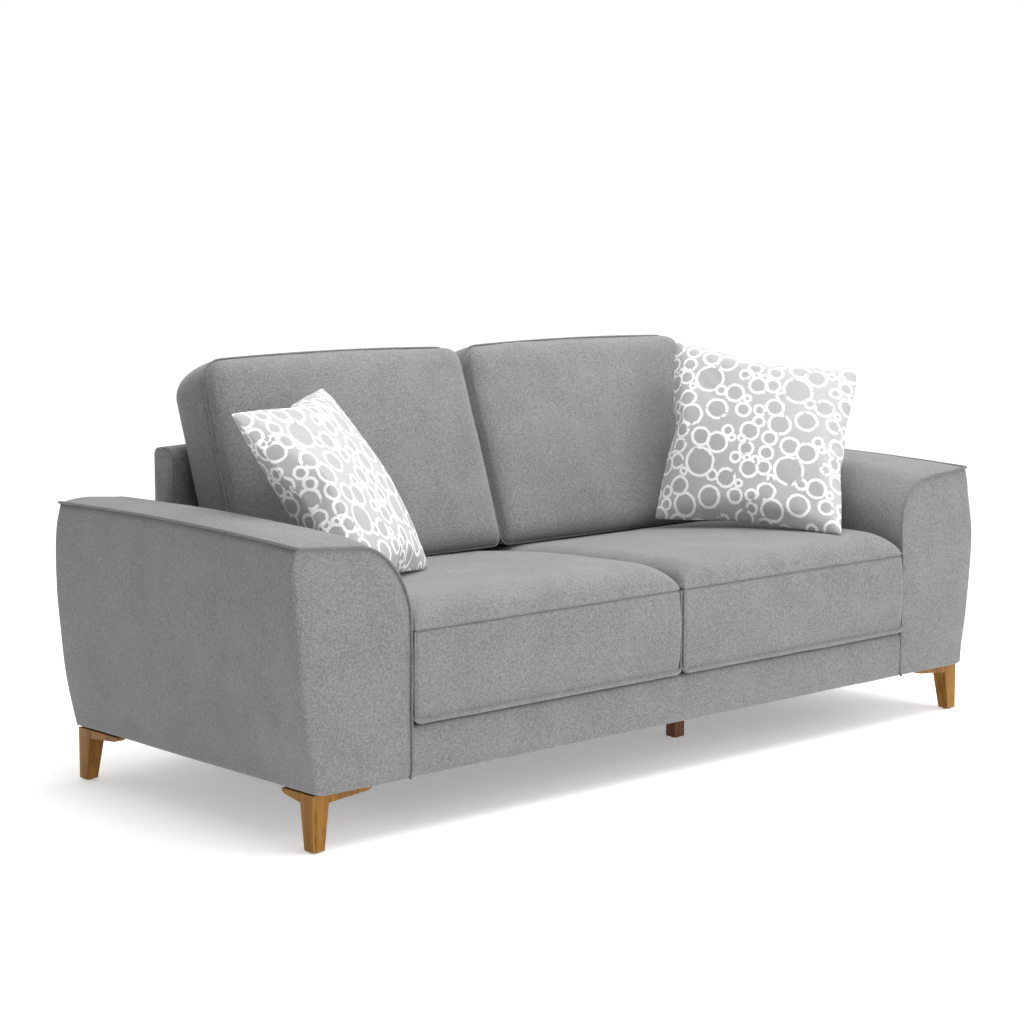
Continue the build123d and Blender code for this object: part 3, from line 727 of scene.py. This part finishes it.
def roll_off(distance, reach, power=2.4):
    """A rounded edge: 0 at the seam, steep there, and 1 from reach inwards."""
    return (1 - (1 - min(max(distance, 0) / reach, 1)) ** power) ** (1 / power)


def build_seat(side, sign):
    """A boxed seat cushion: upright sides, a stitched seam at the top and a flange at the bottom."""
    low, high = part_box(f"seat_cover_{side}")
    counts = (64, 56, 64, 56)
    outline = rounded_rectangle((low.x + 0.0012, low.y + 0.003), (high.x - 0.0012, high.y - 0.001),
                                (SEAT_CORNER, SEAT_CORNER, 0.02, 0.02), counts, 0.6)
    normal = ring_normals(outline)
    front_share = np.clip((low.y + 0.05 - outline[:, 1]) / 0.05, 0, 1)
    to_side = np.minimum(outline[:, 0] - low.x, high.x - outline[:, 0])
    near = np.maximum(SEAT_FOOT_ROUND - to_side, 0)
    lift = front_share * (SEAT_FOOT_ROUND - np.sqrt(SEAT_FOOT_ROUND**2 - near**2))

    # inset from the outline and height over the deck: the flange, a groove, the side, the top seam
    profile = [(0.016, 0.0012), (0.007, 0.0013), (0.001, 0.0022), (-0.0016, 0.0042), (-0.0020, 0.0066),
               (-0.0010, 0.0092), (0.0040, 0.0108), (0.0050, 0.0126), (0.0034, 0.018), (0.0018, 0.030),
               (0.0006, 0.050), (-0.0004, 0.080), (-0.0006, 0.110), (0.0004, 0.140), (0.0020, 0.165),
               (0.0036, 0.178), (0.0052, 0.1848), (0.0078, 0.1866), (0.0080, 0.1880), (0.0046, 0.1894),
               (0.0040, 0.1918), (0.0062, 0.1946), (0.0098, 0.1962)]
    rings = []
    for inset, height in profile:
        xy = outline - normal * inset
        z = low.z + height + lift * max(0.0, 1 - height / 0.12)
        rings.append(np.column_stack([xy, z]))
    body = closed_body(f"seat_cushion_{side}", rings, counts, [(0, 0, 0), (0, 0, 0)])
    edge_inset, top_z = profile[-1][0], low.z + profile[-1][1]
    crest_y = low.y + SEAT_CREST_BACK
    for vertex in body.data.vertices:
        x, y, z = vertex.co
        if z < top_z - 1e-5:
            continue
        from_side = min(x - low.x, high.x - x) - edge_inset
        across = 2 * (x - low.x) / (high.x - low.x) - 1
        edges = (roll_off(from_side, 0.075) * roll_off(y - low.y - edge_inset, 0.10)
                 * roll_off(high.y - y - edge_inset, 0.05))
        slope = 1 - 0.95 * (max(0.0, y - crest_y) / (high.y - crest_y)) ** 2
        vertex.co.z += edges * slope * (SEAT_RISE + SEAT_EXTRA * (1 - across**2))
    body.data.update()
    ripple(body, 0.0014, 6.0, 4.0 if sign > 0 else 9.0)
    finish_piece(body, f"seat_cushion_{side}", VELVET,
                 [f"seat_cover_{side}", f"seat_foam_{side}"])
    for end, corner_x in (("a", low.x), ("b", high.x)):
        inward = 1 if end == "a" else -1
        centre = np.array([corner_x + inward * (SEAT_CORNER + 0.0012), low.y + 0.003 + SEAT_CORNER])
        out = np.array([-inward, -1]) / math.sqrt(2) * SEAT_CORNER
        line = [(*(centre + out), low.z + z) for z in np.linspace(0.016, 0.186, 40)]
        cord = tube(f"seat_cushion_{side}_edge_{end}", line, 0.0017)
        finish_piece(cord, f"seat_cushion_{side}", VELVET)


BACK_LEAN = math.atan(0.354)
BACK_CORNER = 0.062
BACK_ROLL = 0.030                # the front panel rolls this far forward of its welt
BACK_CROWN = 0.015               # and its middle this much more
BACK_ARCH = 0.008                # the top edge is a shallow arch


def build_back_cushion(side, sign):
    """A boxed back cushion: a full front panel rolled back to a welt, a deep border and a soft rear."""
    low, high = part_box(f"back_cushion_cover_{side}")
    origin = np.array([0.0, low.y + 0.013, low.z])
    width = high.x - low.x
    height = (high.z - 0.002 - low.z) / math.cos(BACK_LEAN)
    counts = (64, 52, 64, 52)
    outline = rounded_rectangle((low.x + 0.001, 0.0), (high.x - 0.001, height),
                                (0.022, 0.022, BACK_CORNER, BACK_CORNER), counts, 0.6)
    normal = ring_normals(outline)
    up = np.array([0.0, math.sin(BACK_LEAN), math.cos(BACK_LEAN)])
    back = np.array([0.0, math.cos(BACK_LEAN), -math.sin(BACK_LEAN)])
    outer = low.x if sign < 0 else high.x

    def place(points, depth):
        """Points of the flat outline at a depth behind the welt, in the leaning cushion."""
        t = np.clip(points[:, 1] / height, 0, 1)
        s = np.clip(1 - np.abs(points[:, 0] - outer) / width, 0, 1)
        settle = 0.016 * s**2 * (1 - t)
        thicker = 1 + 0.10 * t * (depth > 0.02)
        arch = BACK_ARCH * (0.45 - (2 * s - 1) ** 2) * t**3
        return (origin + points[:, :1] * np.array([1.0, 0, 0]) + (points[:, 1:] + arch[:, None]) * up
                + (depth * thicker + settle)[:, None] * back)

    # inset from the outline and depth behind the welt, from the panel's first row to the rear
    profile = [(0.0075, -0.0040), (0.0052, -0.0012), (0.0056, 0.0006), (0.0048, 0.0024), (0.0028, 0.0055),
               (0.0008, 0.012), (-0.0012, 0.026), (-0.0024, 0.045), (-0.0022, 0.062), (-0.0004, 0.080),
               (0.0030, 0.096), (0.0080, 0.107), (0.0150, 0.1145)]
    rings = [place(outline - normal * inset, depth) for inset, depth in profile]
    body = closed_body(f"back_cushion_{side}", rings, counts,
                       [(0, 0, 0), tuple(0.004 * back)], (2.2, 3.0))
    panel = range(len(profile) * len(outline), len(body.data.vertices))
    inset = profile[0][0]
    for index in panel:
        co = np.array(body.data.vertices[index].co) - origin
        depth, rise = co @ back, co @ up
        if depth > 0.03:
            continue
        sides = min(co[0] - low.x, high.x - co[0]) - inset
        edges = (roll_off(sides, 0.055) * roll_off(height - rise - inset, 0.055)
                 * roll_off(rise - inset, 0.05))
        u, v = 2 * (co[0] - low.x) / width - 1, 2 * rise / height - 1
        crown = max(0.0, 1 - u * u) * max(0.0, 1 - v * v)
        body.data.vertices[index].co -= Vector(back * (BACK_ROLL * edges + BACK_CROWN * crown))
    floor = low.z - 0.0005
    for vertex in body.data.vertices:
        if vertex.co.z < floor + 0.012:
            over = floor + 0.012 - vertex.co.z
            vertex.co.z = floor + 0.012 * math.exp(-over / 0.012)
    body.data.update()
    ripple(body, 0.0018, 6.5, 1.0 if sign > 0 else 6.0)
    finish_piece(body, f"back_cushion_{side}", VELVET,
                 [f"back_cushion_cover_{side}", f"back_cushion_filling_{side}"])
    welt = place(outline - normal * 0.0032, 0.0002)
    welt[:, 2] = np.maximum(welt[:, 2], floor + 0.0035)
    cord = tube(f"back_cushion_welt_{side}", welt, 0.0026, closed=True)
    finish_piece(cord, f"back_cushion_{side}", SHADED_PIPING)


# ---- scatter pillows ------------------------------------------------------------------------
PILLOW_SIDE = 0.50               # each panel is cut this size, flat
PILLOW_GRID = 44
REAR_PANEL_ASIDE = 0.9           # the rear panel is cut from the cloth this far from the front one
PILLOW_PRESSURE = 1.4
PILLOW_FRAMES = 30
PILLOW_HALF = 0.066              # half the thickness in the middle, once it leans on its neighbours
PILLOW_FILLED_OUT = 0.5          # the filling pushes the edges back out this share of what they drew in
PILLOW_FLOOR = 0.4615            # it rests on the seat cushions here
PILLOW_GIVE = 0.007
# lower left, lower right, upper right and upper left corner of each pillow
PILLOW_CORNERS = {
    "left": [(-0.735, -0.262, 0.464), (-0.446, -0.122, 0.460),
             (-0.500, 0.175, 0.840), (-0.918, -0.055, 0.822)],
    "right": [(0.448, 0.086, 0.466), (0.596, -0.390, 0.461),
              (0.881, -0.200, 0.826), (0.612, 0.180, 0.899)],
}


def sewn_panels(name):
    """Two square panels sewn together round their edges, nearly flat, with cloth coordinates as UVs."""
    n = PILLOW_GRID
    line = np.linspace(-0.5, 0.5, n + 1) * PILLOW_SIDE
    index, vertices = {}, []
    for face in (1, -1):
        for i in range(n + 1):
            for j in range(n + 1):
                rim = i in (0, n) or j in (0, n)
                if rim and face < 0:
                    index[face, i, j] = index[1, i, j]
                    continue
                index[face, i, j] = len(vertices)
                bow = (1 - (2 * i / n - 1) ** 2) * (1 - (2 * j / n - 1) ** 2)
                vertices.append((line[j], line[i], face * 0.012 * bow ** 0.5))
    faces, corners = [], []
    for face in (1, -1):
        for i in range(n):
            for j in range(n):
                square = [(i, j), (i, j + 1), (i + 1, j + 1), (i + 1, j)]
                if face < 0:
                    square = square[::-1]
                faces.append([index[face, a, b] for a, b in square])
                aside = REAR_PANEL_ASIDE if face < 0 else 0.0
                corners.append([(line[b] + aside, line[a] * face) for a, b in square])
    data = bpy.data.meshes.new(name)
    data.from_pydata(vertices, [], faces)
    layer = data.uv_layers.new(name="cloth")
    flat = [uv for corner in corners for uv in corner]
    for loop, uv in zip(layer.data, flat):
        loop.uv = uv
    obj = bpy.data.objects.new(name, data)
    bpy.context.scene.collection.objects.link(obj)
    return obj


def inflate(obj, pressure, frames, stiffness=18.0):
    """Blow a closed cloth up from inside, with no gravity, and keep the shape it reaches."""
    cloth = obj.modifiers.new("cloth", "CLOTH")
    settings = cloth.settings
    settings.quality = 6
    settings.mass = 0.25
    settings.tension_stiffness = stiffness
    settings.compression_stiffness = stiffness
    settings.shear_stiffness = 6.0
    settings.bending_stiffness = 0.35
    settings.tension_damping = 8.0
    settings.compression_damping = 8.0
    settings.air_damping = 2.0
    settings.use_pressure = True
    settings.uniform_pressure_force = pressure
    settings.effector_weights.gravity = 0.0
    scene = bpy.context.scene
    scene.frame_start, scene.frame_end = 1, frames
    cloth.point_cache.frame_start, cloth.point_cache.frame_end = 1, frames
    for step in range(1, frames + 1):
        scene.frame_set(step)
    depsgraph = bpy.context.evaluated_depsgraph_get()
    result = bpy.data.meshes.new_from_object(obj.evaluated_get(depsgraph), depsgraph=depsgraph,
                                             preserve_all_data_layers=True)
    obj.modifiers.remove(cloth)
    obj.data = result
    scene.frame_set(1)
    return obj


def build_pillows():
    pattern = sewn_panels("pillow_pattern")
    sewn_cut = pattern.data.copy()
    inflate(pattern, PILLOW_PRESSURE, PILLOW_FRAMES)
    shape = np.array([tuple(v.co) for v in pattern.data.vertices])
    shape -= shape.mean(axis=0)
    reach = np.abs(shape[:, :2]).max(axis=0)
    shape[:, 2] *= PILLOW_HALF / np.abs(shape[:, 2]).max()
    cut = np.array([tuple(v.co) for v in sewn_cut.vertices])[:, :2] * reach / (PILLOW_SIDE / 2)
    shape[:, :2] += PILLOW_FILLED_OUT * (cut - shape[:, :2])
    for side, _ in SIDES:
        obj = bpy.data.objects.new(f"scatter_pillow_{side}", pattern.data.copy())
        bpy.context.scene.collection.objects.link(obj)
        low_left, low_right, high_right, high_left = (np.array(p) for p in PILLOW_CORNERS[side])
        normal = np.cross(low_right - low_left + high_right - high_left,
                          high_left - low_left + high_right - low_right)
        normal /= np.linalg.norm(normal)
        for vertex, (x, y, z) in zip(obj.data.vertices, shape):
            u, v = 0.5 + 0.5 * x / reach[0], 0.5 + 0.5 * y / reach[1]
            place = ((1 - u) * (1 - v) * low_left + u * (1 - v) * low_right
                     + u * v * high_right + (1 - u) * v * high_left)
            place = place + normal * z
            sunk = PILLOW_FLOOR + PILLOW_GIVE - place[2]
            if sunk > 0:
                place[2] = PILLOW_FLOOR + PILLOW_GIVE * math.exp(-sunk / PILLOW_GIVE)
            vertex.co = place
        obj.data.update()
        smooth = obj.modifiers.new("smooth", "SUBSURF")
        smooth.levels = smooth.render_levels = 1
        obj.data.polygons.foreach_set("use_smooth", [True] * len(obj.data.polygons))
        finish_piece(obj, f"throw_pillow_{side}", RINGS,
                     [f"pillow_cover_{side}", f"pillow_filling_{side}"])
    bpy.data.objects.remove(pattern)
    bpy.data.meshes.remove(sewn_cut)


# ---- deck and carried-over CAD pieces -------------------------------------------------------
def build_deck():
    """The felt pad over the springs, seen when a seat cushion is pulled out."""
    low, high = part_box("deck_pad")
    counts = (60, 30, 60, 30)
    ring = rounded_rectangle((low.x, low.y), (high.x, high.y), (0.01,) * 4, counts)
    normal = ring_normals(ring)
    levels = ((0.003, low.z), (0.0, low.z + 0.002), (0.0, high.z - 0.003), (0.003, high.z - 0.0005))
    rings = [np.column_stack([ring - normal * inset, np.full(len(ring), z)]) for inset, z in levels]
    body = closed_body("deck_cloth", rings, counts, [(0, 0, 0), (0, 0, 0)])
    finish_piece(body, "root", CARRIED["felt"], ["deck_pad"])


def finish_carried():
    """Give the CAD pieces that still show their materials, and soften the edges of the legs."""
    slots = {row["node"]: row["material_slot"] for row in frame["record"]["subparts"]}
    for node, obj in frame["nodes"].items():
        material = CARRIED.get(slots[node])
        if material is None:
            continue
        obj.data.materials.clear()
        obj.data.materials.append(material)
        if slots[node] == "oak" and node.startswith("leg_") or node == "centre_leg":
            bevel = obj.modifiers.new("worn edges", "BEVEL")
            bevel.width, bevel.segments, bevel.limit_method = 0.0016, 3, "ANGLE"
            bevel.angle_limit = math.radians(40)
            bevel.harden_normals = False


# ---- studio ---------------------------------------------------------------------------------
def area_light(name, place, target, size, power, colour=(1, 1, 1)):
    data = bpy.data.lights.new(name, "AREA")
    data.shape, data.size, data.size_y = "RECTANGLE", size[0], size[1]
    data.energy, data.color = power, colour
    obj = bpy.data.objects.new(name, data)
    obj.location = place
    obj.rotation_euler = (Vector(target) - Vector(place)).to_track_quat("-Z", "Y").to_euler()
    bpy.context.scene.collection.objects.link(obj)


FLOOR_REACH = 14                 # the floor is a square with sides twice this long
FLOOR_GLOW = 0.32                # lifts the far floor to the white of the backdrop
SIDE_DIM = (-0.85, 0.15, 0.25)   # the surround dims between these shares of -X, down to the last
CAMERA_PLACE = (-3.729, -3.996, 1.249)
CAMERA_DOWN, CAMERA_TURN = 7.44, -42.26   # degrees below level, and round Z from +Y
CAMERA_LENS, CAMERA_SENSOR = 84.39, 36.0


def dim_one_side(world, direction_low, direction_high, dimmest):
    """A surround that is white ahead of the camera and dimmer towards -X."""
    tree = world.node_tree
    place = tree.nodes.new("ShaderNodeTexCoord")
    parts = tree.nodes.new("ShaderNodeSeparateXYZ")
    level = tree.nodes.new("ShaderNodeMapRange")
    for key, value in zip(("From Min", "From Max", "To Min", "To Max"),
                          (direction_low, direction_high, dimmest, 1.0)):
        level.inputs[key].default_value = value
    tree.links.new(place.outputs["Generated"], parts.inputs[0])
    tree.links.new(parts.outputs["X"], level.inputs["Value"])
    tree.links.new(level.outputs["Result"], tree.nodes["Background"].inputs["Strength"])


def build_studio():
    """A pale floor, a white surround that dims on one side, two soft lights and the camera."""
    corners = [(x * FLOOR_REACH, y * FLOOR_REACH, 0) for x, y in ((-1, -1), (1, -1), (1, 1), (-1, 1))]
    floor = mesh_object("floor", corners, [(0, 1, 2, 3)], False)
    shader = Shader("floor")
    grain = shader.noise(shader.coordinates(), 2.0, 2.0)
    shader.colour(shader.mix(grain, (0.90, 0.90, 0.90), (0.94, 0.94, 0.94)))
    shader.set(Roughness=0.9, Emission_Color=(1, 1, 1, 1), Emission_Strength=FLOOR_GLOW)
    floor.data.materials.append(shader.material)
    world = bpy.data.worlds.new("studio")
    bpy.context.scene.world = world
    world.use_nodes = True
    world.node_tree.nodes["Background"].inputs[0].default_value = (1, 1, 1, 1)
    dim_one_side(world, *SIDE_DIM)
    area_light("overhead", (0.3, -0.6, 3.6), (0, 0, 0.4), (3.6, 2.4), 112)
    area_light("front right", (2.6, -3.8, 2.2), (0, 0, 0.5), (2.4, 2.0), 34)
    camera = bpy.data.cameras.new("camera")
    camera.lens, camera.sensor_width = CAMERA_LENS, CAMERA_SENSOR
    obj = bpy.data.objects.new("camera", camera)
    obj.location = CAMERA_PLACE
    obj.rotation_euler = (math.radians(90 - CAMERA_DOWN), 0, math.radians(CAMERA_TURN))
    bpy.context.scene.collection.objects.link(obj)
    bpy.context.scene.camera = obj
    bpy.context.scene.view_settings.view_transform = "Standard"


build_studio()
for side_name, side_sign in SIDES:
    build_arm(side_name, side_sign)
    build_seat(side_name, side_sign)
    build_back_cushion(side_name, side_sign)
build_back()
build_front_rail()
build_pillows()
build_deck()
finish_carried()
